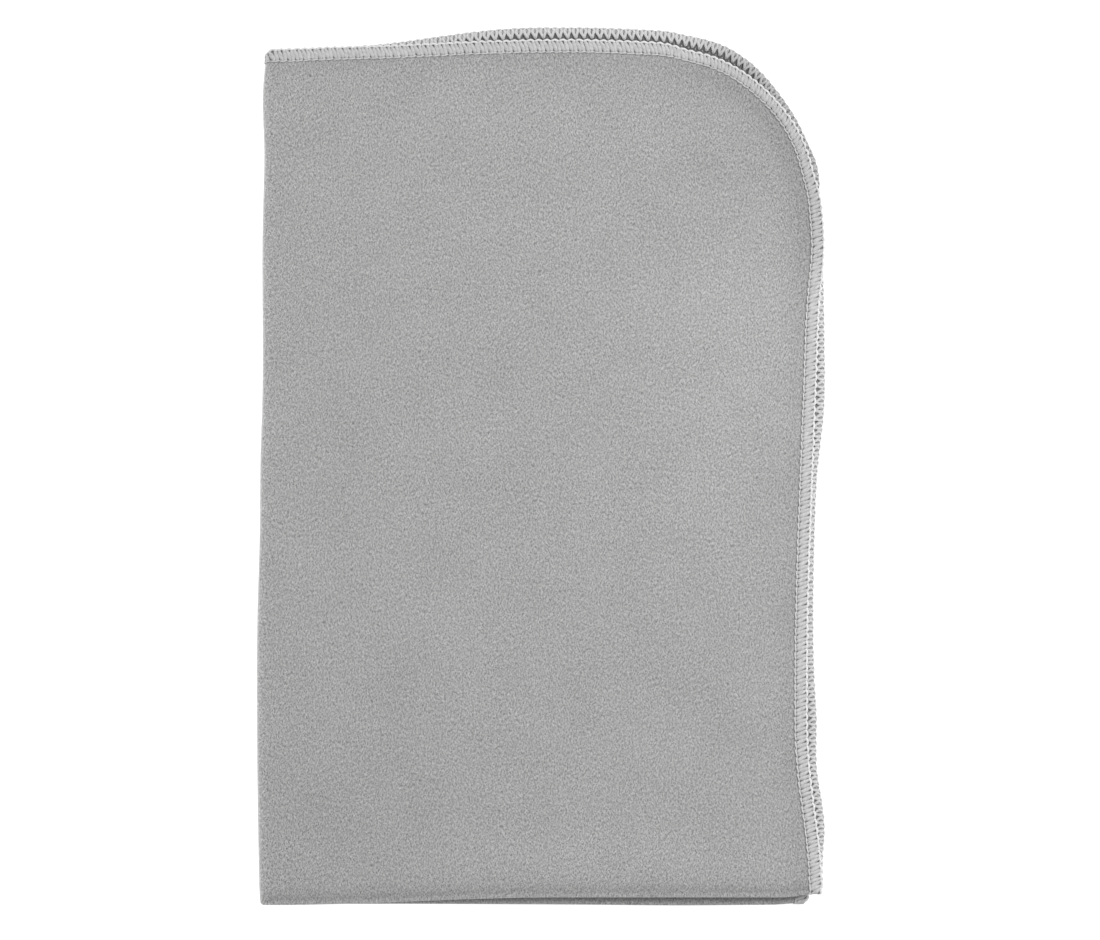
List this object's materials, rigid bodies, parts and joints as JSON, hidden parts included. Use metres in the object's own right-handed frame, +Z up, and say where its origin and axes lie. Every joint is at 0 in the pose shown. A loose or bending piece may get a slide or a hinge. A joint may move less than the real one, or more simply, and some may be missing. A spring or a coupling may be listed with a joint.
{
  "type": "microfiber towel",
  "caption": "Suede-like microfiber cleaning towel with overlocked edges and rounded corners, folded in half twice; its upper leaf opens about the spine fold like a book cover.",
  "frame": {"origin": "middle of the folded towel's underside, on the surface that it lies on", "axes": "+X from the spine fold to the free side edge, +Y from the bottom crease to the free top edge, +Z up out of the front ply"},
  "size_m": [0.2028, 0.313, 0.0084],
  "materials": {
    "microfibre": "matt, finely napped suede microfibre, mid grey",
    "overlock_thread": "fluffy textured polyester overlock thread, light grey"
  },
  "bodies": {
    "lower_leaf": {"third_panel": "microfibre", "third_needle_thread": "overlock_thread", "third_upper_looper": "overlock_thread", "third_lower_looper": "overlock_thread", "back_panel": "microfibre", "back_needle_thread": "overlock_thread", "back_upper_looper": "overlock_thread", "back_lower_looper": "overlock_thread"},
    "upper_leaf": {"front_panel": "microfibre", "front_needle_thread": "overlock_thread", "front_upper_looper": "overlock_thread", "front_lower_looper": "overlock_thread", "second_panel": "microfibre", "second_needle_thread": "overlock_thread", "second_upper_looper": "overlock_thread", "second_lower_looper": "overlock_thread"}
  },
  "joints": [
    {"name": "spine_fold", "type": "hinge", "parent": "lower_leaf", "child": "upper_leaf", "pos_m": [-0.10161, 0, 0.0042], "axis": [0, -1, 0], "range_deg": [0, 180]}
  ]
}
